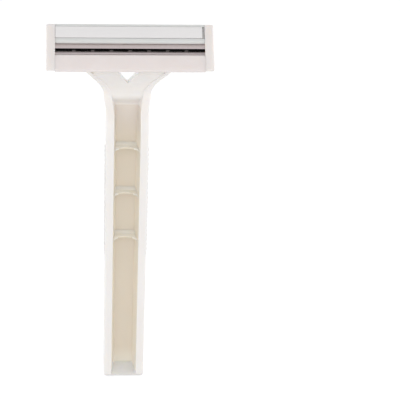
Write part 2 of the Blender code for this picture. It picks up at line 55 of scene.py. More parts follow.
# Settings are the node's own, sockets are input values, and links map an input's name or number to an output
def addNode(tree, kind, settings=None, sockets=None, links=None):
    node = tree.nodes.new(kind)
    for name, value in (settings or {}).items():
        setattr(node, name, value)
    for name, value in (sockets or {}).items():
        node.inputs[name].default_value = value
    for name, source in (links or {}).items():
        tree.links.new(source, node.inputs[name])
    return node


def startMaterial(name):
    made = bpy.data.materials.new(name)
    made.use_nodes = True
    tree = made.node_tree
    tree.nodes.clear()
    place = addNode(tree, "ShaderNodeTexCoord").outputs["Object"]
    return made, tree, place


def stretched(tree, place, scale):
    return addNode(tree, "ShaderNodeMapping", sockets={"Scale": scale}, links={"Vector": place}).outputs[0]


def noise(tree, place, size, detail):
    sockets = {"Scale": 1 / size, "Detail": detail}
    return addNode(tree, "ShaderNodeTexNoise", sockets=sockets, links={"Vector": place}).outputs["Fac"]


def tint(tree, colour, shade, share):  # a mix of two colours, or of a colour and another mix
    made = addNode(tree, "ShaderNodeMix", settings={"data_type": "RGBA"}, links={0: share})
    made.inputs[6].default_value = linear(colour)
    if isinstance(shade, str):
        made.inputs[7].default_value = linear(shade)
    else:
        tree.links.new(shade, made.inputs[7])
    return made.outputs[2]


def roughened(tree, roughness, play, share):  # play is how much smoother and how much rougher it gets
    limits = {"To Min": roughness - play[0], "To Max": roughness + play[1]}
    return addNode(tree, "ShaderNodeMapRange", sockets=limits, links={"Value": share}).outputs[0]


def relief(tree, height, source, strength=0.5, over=None):
    links = {"Height": source, "Normal": over} if over else {"Height": source}
    sockets = {"Strength": strength, "Distance": height}
    return addNode(tree, "ShaderNodeBump", sockets=sockets, links=links).outputs[0]


def endMaterial(made, tree, kind, sockets, links):
    shader = addNode(tree, kind, sockets=sockets, links=links)
    addNode(tree, "ShaderNodeOutputMaterial", links={"Surface": shader.outputs[0]})
    return made


# Materials

# Injection moulded polystyrene, warm white: a satin skin from a spark finished mould, with faint flow marks
# along it. The real grain is about 0.05 mm, so it is drawn at 0.35 mm to show at all. Light goes 1.5 mm in.
moulding = {
    "flow": 5.0 * mm, "flowStretch": (1.0, 1.0, 0.25), "flowHeight": 0.02 * mm, "flowShare": 0.5,
    "flowLimits": (0.35, 0.7), "grain": 0.35 * mm, "grainHeight": 0.006 * mm, "grainStrength": 0.6,
    "roughnessPlay": (0.05, 0.06), "refraction": 1.59, "lightDepth": 1.5 * mm,
    "lightColour": (1.0, 0.9, 0.75),
}


def mouldedStyrene(name, colour, shade, roughness, shine=0.5, depth=0.0, fade=None):
    made, tree, place = startMaterial(name)
    flow = noise(tree, stretched(tree, place, moulding["flowStretch"]), moulding["flow"], 3.0)
    low, high = moulding["flowLimits"]
    tone = addNode(tree, "ShaderNodeMapRange", links={"Value": flow},
                   sockets={"From Min": low, "From Max": high, "To Max": moulding["flowShare"]})
    paint = tint(tree, colour, shade, tone.outputs[0])
    grain = noise(tree, place, moulding["grain"], 2.0)
    skin = relief(tree, moulding["grainHeight"], grain, moulding["grainStrength"],
                  relief(tree, moulding["flowHeight"], flow))
    if fade:  # painted light: paler towards both ends, where light comes through the thin walls
        height = addNode(tree, "ShaderNodeSeparateXYZ", links={"Vector": place}).outputs["Z"]
        for pale, end, full in (("lowColour", "low", "lowFull"), ("highColour", "high", "highFull")):
            share = addNode(tree, "ShaderNodeMapRange", settings={"interpolation_type": "SMOOTHSTEP"},
                            sockets={"From Min": fade[end], "From Max": fade[full]}, links={"Value": height})
            paint = tint(tree, fade[pale], paint, share.outputs[0])
    body = {"IOR": moulding["refraction"], "Specular IOR Level": shine, "Subsurface Weight": depth,
            "Subsurface Scale": moulding["lightDepth"], "Subsurface Radius": moulding["lightColour"]}
    dull = roughened(tree, roughness, moulding["roughnessPlay"], grain)
    return endMaterial(made, tree, "ShaderNodeBsdfPrincipled", body,
                       {"Base Color": paint, "Roughness": dull, "Normal": skin})


# Stainless strip steel, ground: fine scratches across the edge, one way only. Real ones are about 0.01 mm
# apart and are drawn at 0.12 mm.
grinding = {"stretch": (1.0, 0.04, 0.04), "scratch": 0.12 * mm, "scratchHeight": 0.003 * mm,
            "scratchStrength": 0.4, "roughnessPlay": (0.06, 0.08)}


def groundSteel(name, colour, shade, roughness):
    made, tree, place = startMaterial(name)
    scratches = noise(tree, stretched(tree, place, grinding["stretch"]), grinding["scratch"], 2.0)
    paint = tint(tree, colour, shade, scratches)
    dull = roughened(tree, roughness, grinding["roughnessPlay"], scratches)
    skin = relief(tree, grinding["scratchHeight"], scratches, grinding["scratchStrength"])
    return endMaterial(made, tree, "ShaderNodeBsdfPrincipled", {"Metallic": 1.0},
                       {"Base Color": paint, "Roughness": dull, "Normal": skin})


# Extruded lubricating polymer: dull, slightly chalky, with pores and streaks along the strip
extrusion = {"stretch": (0.12, 1.0, 1.0), "streak": 0.4 * mm, "streakHeight": 0.015 * mm, "pore": 0.2 * mm,
             "poreDepth": 0.01 * mm, "refraction": 1.47}


def extrudedPolymer(name, colour, shade, roughness):
    made, tree, place = startMaterial(name)
    streaks = noise(tree, stretched(tree, place, extrusion["stretch"]), extrusion["streak"], 3.0)
    pores = noise(tree, place, extrusion["pore"], 1.0)
    paint = tint(tree, colour, shade, streaks)
    skin = relief(tree, extrusion["poreDepth"], pores, over=relief(tree, extrusion["streakHeight"], streaks))
    body = {"Roughness": roughness, "IOR": extrusion["refraction"]}
    return endMaterial(made, tree, "ShaderNodeBsdfPrincipled", body,
                       {"Base Color": paint, "Normal": skin})


# Each finish is a colour, a second colour of its flow marks, roughness, shine and how much light goes in.
# The handle's are one plastic: the trough's inside is painted warmer and darker, for light crossing it many
# times.
troughFade = {"low": 1.5 * mm, "lowFull": 7.0 * mm, "highFull": 70.0 * mm, "high": 80.0 * mm,
              "lowColour": "#F5F0E6", "highColour": "#E8E1D9"}
finishes = {
    "white": ("warm_white_moulded_styrene", "#F5F2F0", "#F1EDEA", 0.36, 0.5, 0.4),
    "base": ("warm_white_moulded_styrene_handled_end", "#AFABA9", "#A8A4A2", 0.4, 0.5, 0.2),
    "pale": ("warm_white_moulded_styrene_thin", "#FFFFFF", "#FCFBFA", 0.36, 0.5, 1.0),
    "trough": ("warm_white_moulded_styrene_inside", "#ECE4D7", "#E9E0D1", 0.4, 0.5, 0.4, troughFade),
    "rib": ("warm_white_moulded_styrene_ribs", "#FBF7EF", "#F8F3E9", 0.4, 0.5, 0.4),
    "ribFront": ("warm_white_moulded_styrene_rib_fronts", "#E9DFCE", "#E6DBC8", 0.4, 0.5, 0.4),
    "troughSide": ("warm_white_moulded_styrene_sides", "#F6F0E4", "#F3ECDE", 0.4, 0.5, 0.4, troughFade),
    "frame": ("head_moulded_styrene", "#EBE3E1", "#E7DEDB", 0.36, 0.5, 0.3),
    "cap": ("neutral_white_moulded_styrene", "#DADBD9", "#D5D6D4", 0.34, 0.5, 0.2),
    "frameLitBehind": ("head_moulded_styrene_behind", "#FAF2E7", "#F7EEE1", 0.36, 0.5, 0.5),
    "endCap": ("end_cap_moulded_styrene", "#EDE7E4", "#E9E2DF", 0.36, 0.5, 0.4),
    "spacer": ("black_moulded_styrene", "#060505", "#040404", 0.6, 0.03),
    "slot": ("black_moulded_styrene_in_slots", "#5A5757", "#525050", 0.5, 0.3),
}
styrene = {part: mouldedStyrene(*finish) for part, finish in finishes.items()}
bladeSteel = groundSteel("ground_stainless_strip", "#CEC3C2", "#C3B8B7", 0.5)
edgeSteel = groundSteel("honed_stainless_edge", "#C9BEBF", "#BFB4B5", 0.5)
stripPolymer = extrudedPolymer("extruded_lubricating_polymer", "#ECEAEA", "#E7E5E5", 0.62)
print("materials made")


# Geometry node trees

def startTree(name, inputs):
    tree = bpy.data.node_groups.new(name, "GeometryNodeTree")
    for socket, kind in (("Geometry", "NodeSocketGeometry"), *inputs, ("Material", "NodeSocketMaterial")):
        tree.interface.new_socket(socket, in_out="INPUT", socket_type=kind)
    tree.interface.new_socket("Geometry", in_out="OUTPUT", socket_type="NodeSocketGeometry")
    return tree, addNode(tree, "NodeGroupInput")


def endTree(tree, given, solid):
    real = addNode(tree, "GeometryNodeRealizeInstances", links={"Geometry": solid})
    coloured = addNode(tree, "GeometryNodeSetMaterial",
                       links={"Geometry": real.outputs["Geometry"], "Material": given.outputs["Material"]})
    addNode(tree, "NodeGroupOutput", links={"Geometry": coloured.outputs["Geometry"]})
    return tree


def makeSlabTree():  # a flat face becomes a closed slab, centred on its plane
    tree, given = startTree("slabFromOutline", [("Width", "NodeSocketFloat")])
    normal = addNode(tree, "GeometryNodeInputNormal")
    half = addNode(tree, "ShaderNodeMath", settings={"operation": "MULTIPLY"}, sockets={1: -0.5},
                   links={0: given.outputs["Width"]})
    back = addNode(tree, "ShaderNodeVectorMath", settings={"operation": "SCALE"},
                   links={"Vector": normal.outputs["Normal"], "Scale": half.outputs[0]})
    moved = addNode(tree, "GeometryNodeSetPosition",
                    links={"Geometry": given.outputs["Geometry"], "Offset": back.outputs["Vector"]})
    drawnOut = addNode(tree, "GeometryNodeExtrudeMesh", settings={"mode": "FACES"},
                       sockets={"Individual": False},
                       links={"Mesh": moved.outputs["Geometry"], "Offset Scale": given.outputs["Width"]})
    turned = addNode(tree, "GeometryNodeFlipFaces", links={"Mesh": moved.outputs["Geometry"]})
    both = addNode(tree, "GeometryNodeJoinGeometry", links={"Geometry": turned.outputs["Mesh"]})
    tree.links.new(drawnOut.outputs["Mesh"], both.inputs["Geometry"])
    closed = addNode(tree, "GeometryNodeMergeByDistance", sockets={"Distance": 1e-6},
                     links={"Geometry": both.outputs["Geometry"]})
    return endTree(tree, given, closed.outputs["Geometry"])


def makeRepeatTree():  # one small shape is repeated along a straight step
    tree, given = startTree("repeatAlongStep", [("Count", "NodeSocketInt"), ("Step", "NodeSocketVector")])
    places = addNode(tree, "GeometryNodeMeshLine", settings={"mode": "OFFSET"},
                     links={"Count": given.outputs["Count"], "Offset": given.outputs["Step"]})
    copies = addNode(tree, "GeometryNodeInstanceOnPoints",
                     links={"Points": places.outputs["Mesh"], "Instance": given.outputs["Geometry"]})
    return endTree(tree, given, copies.outputs["Instances"])


slabTree = makeSlabTree()
repeatTree = makeRepeatTree()


# Making and finishing meshes

def objectFrom(name, shape):
    mesh = bpy.data.meshes.new(name)
    shape.to_mesh(mesh)
    shape.free()
    made = bpy.data.objects.new(name, mesh)
    bpy.context.scene.collection.objects.link(made)
    return made


def bake(obj):  # modifiers and place go into the mesh, so the object is left plain at the origin
    graph = bpy.context.evaluated_depsgraph_get()
    mesh = bpy.data.meshes.new_from_object(obj.evaluated_get(graph), depsgraph=graph)
    mesh.transform(obj.matrix_world)
    for index in reversed(range(len(mesh.materials))):  # a tree and a cut may each leave an empty slot
        if mesh.materials[index] is None:
            mesh.materials.pop(index=index)
    obj.modifiers.clear()
    obj.matrix_world = Matrix()
    obj.data = mesh
    return obj


def withTree(obj, tree, inputs):
    change = obj.modifiers.new(tree.name, "NODES")
    change.node_group = tree
    for item in tree.interface.items_tree:
        if item.in_out == "INPUT" and item.name in inputs:
            change[item.identifier] = inputs[item.name]
    return bake(obj)


def repeat(obj, count, step, material):
    return withTree(obj, repeatTree, {"Count": count, "Step": step, "Material": material})


# With paint="TRANSFER" the cut faces keep the cutter's material
def carve(obj, operation, *others, paint="INDEX"):
    for other in others:
        change = obj.modifiers.new(other.name, "BOOLEAN")
        change.object = other
        change.operation = operation
        change.solver = "MANIFOLD" if paint == "INDEX" else "EXACT"
        change.material_mode = paint
    bpy.context.view_layer.update()
    bake(obj)
    for other in others:
        bpy.data.objects.remove(other, do_unlink=True)
    return obj


def easeEdges(obj, width, segments=2, angle=45.0, chosen=None):
    change = obj.modifiers.new("edges", "BEVEL")
    change.width = width
    change.segments = segments
    change.limit_method = "WEIGHT" if chosen else "ANGLE"
    if chosen:  # a test on an edge's two end points says which edges are rounded
        points = obj.data.vertices
        weights = obj.data.attributes.new("bevel_weight_edge", "FLOAT", "EDGE")
        for edge in obj.data.edges:
            weights.data[edge.index].value = float(all(chosen(points[index].co) for index in edge.vertices))
    change.angle_limit = math.radians(angle)
    change.harden_normals = False
    return bake(obj)


def smoothed(obj, angle=35.0):
    obj.data.shade_smooth()
    obj.data.set_sharp_from_angle(angle=math.radians(angle))
    return obj


def paintBehind(obj, material, least=0.1):  # faces that point back by at least this much, of 1
    obj.data.materials.append(material)
    for face in obj.data.polygons:
        if face.normal.y > least:
            face.material_index = len(obj.data.materials) - 1


def deliver(obj, nodes=()):
    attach(obj, "root")
    if nodes:
        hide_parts(*nodes)
    return obj


def rounded(corners, steps=6):  # corners are (across, up, radius), and each one with a radius becomes an arc
    points = []
    for index, (x, y, radius) in enumerate(corners):
        here = Vector((x, y))
        if radius <= 0.0:
            points.append(here)
            continue
        before = (Vector(corners[index - 1][:2]) - here).normalized()
        after = (Vector(corners[(index + 1) % len(corners)][:2]) - here).normalized()
        half = before.angle(after) / 2
        start = here + before * radius / math.tan(half)
        finish = here + after * radius / math.tan(half)
        centre = here + (before + after).normalized() * radius / math.sin(half)
        turn = (start - centre).angle_signed(finish - centre)
        for step in range(steps + 1):
            points.append(centre + Matrix.Rotation(-turn * step / steps, 2) @ (start - centre))
    return points


# Planes that an outline is drawn in: the directions of its across, its up and its thickness
levelPlane = Matrix(((1, 0, 0), (0, 1, 0), (0, 0, 1))).to_4x4()
uprightPlane = Matrix(((1, 0, 0), (0, 0, -1), (0, 1, 0))).to_4x4()
sidePlane = Matrix(((0, 0, 1), (1, 0, 0), (0, 1, 0))).to_4x4()


def mirrored(corners, across=-1, up=1):  # the corners, and then their mirror image from the last one back
    return corners + [(across * x, up * y, radius) for x, y, radius in corners[::-1]]


def slab(name, points, width, plane, centre, material, frameOf=None):
    shape = bmesh.new()
    shape.faces.new([shape.verts.new((p[0], p[1], 0.0)) for p in points])
    made = objectFrom(name, shape)
    made.matrix_world = (frameOf or Matrix()) @ Matrix.Translation(centre) @ plane
    return withTree(made, slabTree, {"Width": width, "Material": material})


def loft(name, rows):  # rows are (height, outline), from the lowest to the highest
    shape = bmesh.new()
    rings = [[shape.verts.new((p[0], p[1], z)) for p in points] for z, points in rows]
    for lower, upper in zip(rings, rings[1:]):
        for index, corner in enumerate(lower):
            after = (index + 1) % len(lower)
            shape.faces.new((corner, lower[after], upper[after], upper[index]))
    shape.faces.new(rings[0])
    shape.faces.new(rings[-1])
    bmesh.ops.recalc_face_normals(shape, faces=shape.faces)
    return objectFrom(name, shape)


def lathe(name, profile, steps=40):  # profile is (radius, height), out from the Z axis and back to it
    shape = bmesh.new()
    rings = []
    for radius, height in profile:
        turns = [0.0] if radius <= 0.0 else [2 * math.pi * step / steps for step in range(steps)]
        rings.append([shape.verts.new((radius * math.cos(a), radius * math.sin(a), height)) for a in turns])
    for inner, outer in zip(rings, rings[1:]):
        for index in range(steps):
            after = (index + 1) % steps
            ring = [inner[index % len(inner)], outer[index % len(outer)],
                    outer[after % len(outer)], inner[after % len(inner)]]
            shape.faces.new(list(dict.fromkeys(ring)))
    bmesh.ops.recalc_face_normals(shape, faces=shape.faces)
    return objectFrom(name, shape)


def spread(start, end, step):
    count = max(1, math.ceil((end - start) / step - 1e-6))
    return [start + (end - start) * index / count for index in range(count + 1)]


def ease(value, start, end):
    share = min(max((value - start) / (end - start), 0.0), 1.0)
    return share * share * (3.0 - 2.0 * share)


def mix(first, second, share):
    return first + (second - first) * share


# Handle. Rows of its section are lofted from the bottom end to the shoulders, and the plate is joined on top.
grip = {
    "length": 80.0 * mm, "width": 11.6 * mm, "depth": 8.6 * mm,
    "slopeWidth": 2.0 * mm, "slopeDepth": 2.8 * mm, "backRadius": 0.6 * mm, "endRadius": 1.2 * mm,
    "rimRadius": 0.3 * mm, "mouthRadius": 0.15 * mm, "web": 1.6 * mm, "rim": 2.2 * mm,
    "draft": 0.7 * mm, "troughRadius": 0.5 * mm, "endWall": 0.9 * mm, "endDraft": 0.3 * mm,
    "leastRow": 0.02 * mm, "troughPast": 3.4 * mm, "troughBend": 1.9 * mm,
    "cornerShare": 0.45, "lipShare": 0.3,
}
neck = {
    "length": 15.2 * mm, "bend": 11.0 * mm, "lean": 32.2, "depth": 3.3 * mm, "slopeDepth": 1.9 * mm,
    "recess": 0.25 * mm, "leastWall": 0.9 * mm, "rim": 1.1 * mm, "swell": 0.6 * mm,
    "shoulderWidth": 24.8 * mm, "shoulderDepth": 5.2 * mm, "shoulderSlopeDepth": 4.4 * mm,
    "shoulderHollow": 4.5 * mm, "openingHeight": 6.1 * mm, "openingWidth": 9.7 * mm, "openingBelow": 0.7 * mm,
    "openingRadius": 0.35 * mm, "row": 0.5 * mm, "edgeRadius": 0.12 * mm, "through": 40 * mm,
}
plate = {
    "width": 21.5 * mm, "topWidth": 20.8 * mm, "height": 7.38 * mm, "thickness": 1.3 * mm, "lean": 17.2,
    "bend": 3.0 * mm, "step": 0.1 * mm, "root": 0.3 * mm, "bevelWidth": 0.9 * mm, "bevelDepth": 0.6 * mm,
    "edgeRadius": 0.2 * mm, "windowSpacing": 12.1 * mm, "windowRadius": 2.2 * mm, "notch": 1.0 * mm,
    "notchHeight": 1.4 * mm, "windowBelow": 2.85 * mm, "row": 0.6 * mm, "through": 10 * mm,
}
neckLean = math.tan(math.radians(neck["lean"]))
plateLean = math.tan(math.radians(plate["lean"]))
thinZ = grip["length"] - neck["length"] / 4
narrowZ = grip["length"] + neck["length"] / 3
middleZ = grip["length"] + neck["length"] / 2
shoulderZ = grip["length"] + neck["length"]
plateStartZ = shoulderZ - neck["length"] / 7
plateTopZ = shoulderZ + plate["height"]
windowZ = plateTopZ - plate["windowBelow"]
troughTopZ = grip["length"] + grip["troughPast"]


def ramp(value, start, bend):
    past = value - start
    return 0.0 if past <= 0.0 else past * past / (2 * bend) if past < bend else past - bend / 2


def backY(z):
    lean = neckLean * ramp(z, grip["length"], neck["bend"])
    return grip["depth"] / 2 - lean + (neckLean - plateLean) * ramp(z, plateStartZ, plate["bend"])


def outerHalf(z):
    swell = neck["swell"] * ease(z, grip["length"], narrowZ)
    flare = neck["shoulderWidth"] / 2 - grip["width"] / 2 - neck["swell"]
    return grip["width"] / 2 + swell + flare * ease(z, narrowZ, shoulderZ)


def alongNeck(atGrip, atNeck, atShoulder, z):
    toNeck = (atNeck - atGrip) * ease(z, thinZ, middleZ)
    return atGrip + toNeck + (atShoulder - atNeck) * ease(z, middleZ, shoulderZ)


def slopeHalf(z):
    atShoulder = (neck["shoulderWidth"] - plate["width"]) / 2 + plate["bevelWidth"]
    return mix(grip["slopeWidth"], atShoulder, ease(z, grip["length"], shoulderZ))


def wallDepth(z):
    return alongNeck(grip["depth"], neck["depth"], neck["shoulderDepth"], z)


def webDepth(z):  # the trough ends below the neck, which is flat in front but for a shallow recess
    filled = ease(z, troughTopZ - grip["troughBend"], troughTopZ + grip["troughBend"])
    thick = mix(grip["web"], wallDepth(z) - neck["recess"], filled)
    behindOpening = ease(z, shoulderZ - neck["shoulderHollow"], shoulderZ)
    return mix(thick, plate["thickness"] + 2 * plate["step"], behindOpening)


def handleRow(z):
    inset = 0.0
    if z < grip["endRadius"]:
        inset = grip["endRadius"] - math.sqrt(grip["endRadius"] ** 2 - (grip["endRadius"] - z) ** 2)
    half = outerHalf(z) - inset
    front = backY(z) - wallDepth(z) + inset
    back = backY(z) - inset
    waist = backY(z) - alongNeck(grip["slopeDepth"], neck["slopeDepth"], neck["shoulderSlopeDepth"], z)
    flat = half - slopeHalf(z)
    floor = backY(z) - webDepth(z)
    mouth = outerHalf(z) - mix(grip["rim"], neck["rim"], ease(z, troughTopZ, shoulderZ))
    deep = floor - front
    outside = half - slopeHalf(z) * max(1 - webDepth(z) / (backY(z) - waist), 0.0)
    base = min(mouth - grip["draft"] * deep / (grip["depth"] - grip["web"]), outside - neck["leastWall"])
    corner = min(grip["troughRadius"], grip["cornerShare"] * deep)
    lip = min(grip["mouthRadius"], grip["lipShare"] * deep)
    radius = mix(grip["backRadius"], plate["edgeRadius"], ease(z, grip["length"], shoulderZ))
    outside = mirrored([(half, front, grip["rimRadius"]), (half, waist, radius), (flat, back, radius)])
    inside = mirrored([(-mouth, front, lip), (-base, floor, corner)])
    steps = 5
    points = rounded(outside + inside, steps)
    if z <= grip["endWall"]:  # the trough's points lie flat in the front face below its end wall
        for point in points[len(outside) * (steps + 1):]:
            point.y = front
    return points


def plateRow(z):
    half = mix(plate["width"], plate["topWidth"], (z - shoulderZ) / plate["height"]) / 2
    back = backY(z) - plate["step"]
    right = [(half, back - plate["thickness"], grip["rimRadius"]),
             (half, back - plate["bevelDepth"], plate["edgeRadius"]),
             (half - plate["bevelWidth"], back, plate["edgeRadius"])]
    return rounded(mirrored(right), 4)


def halfMoon(radius, side, notch=0.0, notchHeight=0.0, steps=20):
    lift = math.asin(notchHeight / radius)
    arc = [mix(lift, math.pi, step / steps) for step in range(steps)]
    points = [(radius * math.cos(a), radius * math.sin(a)) for a in arc] + [(-radius, 0.0)]
    if notch > 0.0:
        points += [(radius + notch, 0.0), (radius + notch, notchHeight)]
    return [(side * x, up) for x, up in points][::side]


# How far inside the trough a face lies to be painted, and which way painted faces point, from -1 to 1
paintLimits = {"lip": 0.2 * mm, "play": 0.05 * mm, "notBack": 0.3, "front": -0.7, "aslant": 0.7, "up": 0.3,
               "down": -0.5, "flatDown": -0.98}


# Painted light and shade: the trough's floor is painted a warmer, darker tan, and its sides a warm paler tone
def markTrough(obj):
    obj.data.materials.append(styrene["trough"])
    obj.data.materials.append(styrene["troughSide"])
    shelfTop = grip["endWall"] + grip["endDraft"]
    for face in obj.data.polygons:
        middle = face.center
        floor = backY(middle.z) - webDepth(middle.z)
        front = backY(middle.z) - wallDepth(middle.z)
        between = abs(middle.x) < outerHalf(middle.z) - grip["rim"] / 2
        between = between and shelfTop < middle.z < troughTopZ - grip["troughBend"]
        sunk = front + paintLimits["lip"] < middle.y <= floor + paintLimits["play"]
        if between and sunk and face.normal.y < paintLimits["notBack"]:
            face.material_index = 1 if face.normal.y < paintLimits["front"] else 2


# Painted light for light through thin walls: the opening's walls and the trough's lower end are palest where
# turned up
def markPaintedLight(obj):
    obj.data.materials.append(styrene["pale"])
    high = shoulderZ - neck["openingBelow"]
    low = high - neck["openingHeight"]
    for face in obj.data.polygons:
        middle = face.center
        opening = abs(middle.x) < neck["openingWidth"] / 2 and low < middle.z < high
        shelf = 0.0 < middle.z < grip["endWall"] + 2 * grip["endDraft"]
        turned = abs(face.normal.y) < paintLimits["aslant"] and face.normal.z > paintLimits["up"]
        if (opening or shelf) and turned:
            face.material_index = len(obj.data.materials) - 1


def markFootShade(obj):  # painted shade: the rounded edge that it stands on is painted as a thin grey line
    obj.data.materials.append(styrene["base"])
    for face in obj.data.polygons:
        low = face.center.z < grip["endRadius"]
        if low and paintLimits["flatDown"] < face.normal.z < paintLimits["down"]:
            face.material_index = len(obj.data.materials) - 1


def makeHandle():
    endRows = [grip["endRadius"] * (1 - math.cos(math.radians(a))) for a in (0, 18, 36, 54, 72, 90)]
    rows = [z for z in endRows if abs(z - grip["endWall"]) > grip["leastRow"]]
    rows = sorted([z for z in rows if z < grip["endWall"] + grip["endDraft"] - grip["leastRow"]]
                  + [grip["endWall"], grip["endWall"] + grip["endDraft"]])
    rows += spread(thinZ, troughTopZ - grip["troughBend"], neck["row"])
    rows += spread(troughTopZ - grip["troughBend"], troughTopZ + grip["troughBend"], neck["row"] / 3)[1:]
    rows += spread(troughTopZ + grip["troughBend"], shoulderZ, neck["row"])[1:]
    shell = loft("handle_moulding", [(z, handleRow(z)) for z in rows])
    shell.data.materials.append(styrene["white"])
    levels = spread(shoulderZ - plate["root"], plateTopZ, plate["row"])
    upper = loft("plate_moulding", [(z, plateRow(z)) for z in levels])
    upper.data.materials.append(styrene["white"])
    carve(shell, "UNION", upper)
    top = shoulderZ - neck["openingBelow"]
    across, radius = neck["openingWidth"] / 2, neck["openingRadius"]
    corners = [(0.0, top - neck["openingHeight"], radius), (across, top, radius), (-across, top, radius)]
    white = styrene["white"]
    cutters = [slab("opening_cut", rounded(corners), neck["through"], uprightPlane, (0, 0, 0), white)]
    for side in (-1, 1):
        moon = halfMoon(plate["windowRadius"], side, plate["notch"], plate["notchHeight"])
        centre = (side * plate["windowSpacing"] / 2, backY(windowZ), windowZ)
        cutters.append(slab("window_cut", moon, plate["through"], uprightPlane, centre, white))
    carve(shell, "DIFFERENCE", *cutters)
    easeEdges(shell, neck["edgeRadius"], angle=50.0)
    markTrough(shell)
    markPaintedLight(shell)
    markFootShade(shell)
    smoothed(shell, 40.0)
    return deliver(shell, ["handle"])


makeHandle()
print("handle made")


# What repeats on the handle
ribs = {"count": 3, "pitch": 13.3 * mm, "belowNeck": 10.0 * mm, "thickness": 0.5 * mm, "root": 0.4 * mm,
        "hollow": 3.4 * mm, "middle": 2.6 * mm, "paleEnd": 1.2 * mm, "fillet": 0.8 * mm,
        "sunk": 0.1 * mm, "edgeRadius": 0.1 * mm, "steps": 24}
lines = {"count": 8, "pitch": 5.18 * mm, "belowNeck": 7.5 * mm, "length": 6.2 * mm, "width": 0.55 * mm,
         "height": 0.14 * mm, "root": 0.3 * mm, "topRadius": 0.08 * mm, "edgeRadius": 0.05 * mm}
teeth = {"count": 23, "pitch": 1.4 * mm, "belowNeck": 9.6 * mm, "height": 0.25 * mm, "width": 0.6 * mm,
         "run": 4.6 * mm, "fromRim": 0.6 * mm, "root": 0.6 * mm, "topRadius": 0.1 * mm,
         "edgeRadius": 0.12 * mm}


def makeRibs():
    top = grip["length"] - ribs["belowNeck"]
    floor = backY(top) - grip["web"]
    sideY = floor - ribs["middle"] - ribs["hollow"]
    reach = grip["width"] / 2 - grip["rim"] + ribs["root"]
    points = [(reach, sideY), (reach, floor + ribs["root"]), (-reach, floor + ribs["root"]), (-reach, sideY)]
    for angle in spread(0.0, math.pi, math.pi / ribs["steps"]):
        points.append((-ribs["hollow"] * math.cos(angle), sideY + ribs["hollow"] * math.sin(angle)))
    middle = (0, 0, top - ribs["thickness"] / 2)
    one = slab("cross_ribs", points, ribs["thickness"], levelPlane, middle, styrene["rib"])
    low = top - ribs["sunk"]
    buried, high = floor + ribs["root"], top + ribs["fillet"]
    corner = [(buried, low), (buried, high), (floor, high), (floor - ribs["fillet"], low)]
    carve(one, "UNION", slab("rib_fillet", corner[::-1], 2 * reach, sidePlane, (0, 0, 0), styrene["rib"]))
    easeEdges(one, ribs["edgeRadius"], angle=50.0)
    repeat(one, ribs["count"], (0, 0, -ribs["pitch"]), styrene["rib"])
    # Painted light and shade: ribs painted paler for light on tops and ends, their front middles a darker tan
    one.data.materials.append(styrene["ribFront"])
    for face in one.data.polygons:
        if face.normal.z < paintLimits["up"] and abs(face.center.x) < ribs["hollow"] - ribs["paleEnd"]:
            face.material_index = 1
    return deliver(smoothed(one))


def makeLines():
    top = grip["length"] - lines["belowNeck"]
    half = lines["width"] / 2
    lower = [(-lines["root"], -half), (0.0, -half), (lines["height"], -half / 2)]
    lower = [(x, y, lines["topRadius"] if x > 0.0 else 0.0) for x, y in lower]
    points = rounded(mirrored(lower, 1, -1), 3)
    one = slab("grip_lines", points, lines["length"], sidePlane, (0, backY(top), top), styrene["white"])
    easeEdges(one, lines["edgeRadius"], angle=60.0)
    repeat(one, lines["count"], (0, 0, -lines["pitch"]), styrene["white"])
    return deliver(smoothed(one))


def makeTeeth():
    top = grip["length"] - teeth["belowNeck"]
    pair = bmesh.new()
    for side in (-1, 1):
        wall, half = grip["width"] / 2, teeth["width"] / 2
        lower = [(wall - teeth["root"], -half, 0.0), (wall, -half, 0.0),
                 (wall + teeth["height"], -half / 2, teeth["topRadius"])]
        points = rounded(mirrored(lower, 1, -1), 3)
        points = [(side * x, up) for x, up in points][::side]
        middle = (0, -grip["depth"] / 2 + teeth["fromRim"] + teeth["run"] / 2, top)
        one = slab("tooth", points, teeth["run"], uprightPlane, middle, styrene["white"])
        easeEdges(one, teeth["edgeRadius"], angle=60.0)
        pair.from_mesh(one.data)
        bpy.data.objects.remove(one, do_unlink=True)
    both = objectFrom("grip_teeth", pair)
    repeat(both, teeth["count"], (0, 0, -teeth["pitch"]), styrene["white"])
    return deliver(smoothed(both))


makeRibs()
makeLines()
makeTeeth()
print("ribs, grip lines and teeth made")


# Head
head = {
    "width": 43.0 * mm, "height": 13.5 * mm, "depth": 4.85 * mm, "tilt": 35.0, "topFall": 0.1 * mm,
    "rail": 1.1 * mm, "railOverPlate": 0.25 * mm, "fitGap": 0.1 * mm, "snapGap": 0.3 * mm,
    "postGap": 0.15 * mm, "bladeEndGap": 0.2 * mm, "lugSunk": 0.3 * mm, "lugGap": 0.15 * mm,
    "endGap": 0.005 * mm, "past": 20 * mm, "row": 0.8 * mm, "overrun": 2 * mm, "edgeRadius": 0.08 * mm,
    "tolerance": 0.01 * mm,
}
guard = {
    "height": 5.25 * mm, "depth": 2.6 * mm, "rear": 6.0 * mm, "heel": 2.4 * mm, "edgeRadius": 0.5 * mm,
    "topRadius": 0.45 * mm, "step": 0.6 * mm, "floor": 0.8 * mm, "railRadius": 0.3 * mm,
    "smallRadius": 0.15 * mm,
}
endCap = {
    "width": 2.3 * mm, "rise": 0.26 * mm, "proud": 0.15 * mm, "heel": 5.2 * mm, "cornerRadius": 0.42 * mm,
    "edgeRadius": 0.7 * mm,
}
ear = {"thickness": 0.45 * mm, "bulge": 0.95 * mm, "gap": 0.1 * mm, "height": 5.8 * mm}
blade = {
    "angle": 24.0, "width": 6.2 * mm, "thickness": 0.12 * mm, "edge": 0.5 * mm, "up": 5.43 * mm,
    "inward": 0.3 * mm, "rise": 1.45 * mm, "step": 0.18 * mm, "honed": 0.14 * mm, "honedRise": 0.02 * mm,
}
spacer = {"setback": 0.85 * mm, "width": 5.2 * mm, "slots": 7, "pitch": 4.8 * mm, "slotLength": 0.9 * mm,
          "slotWidth": 0.24 * mm, "slotDepth": 2.2 * mm}
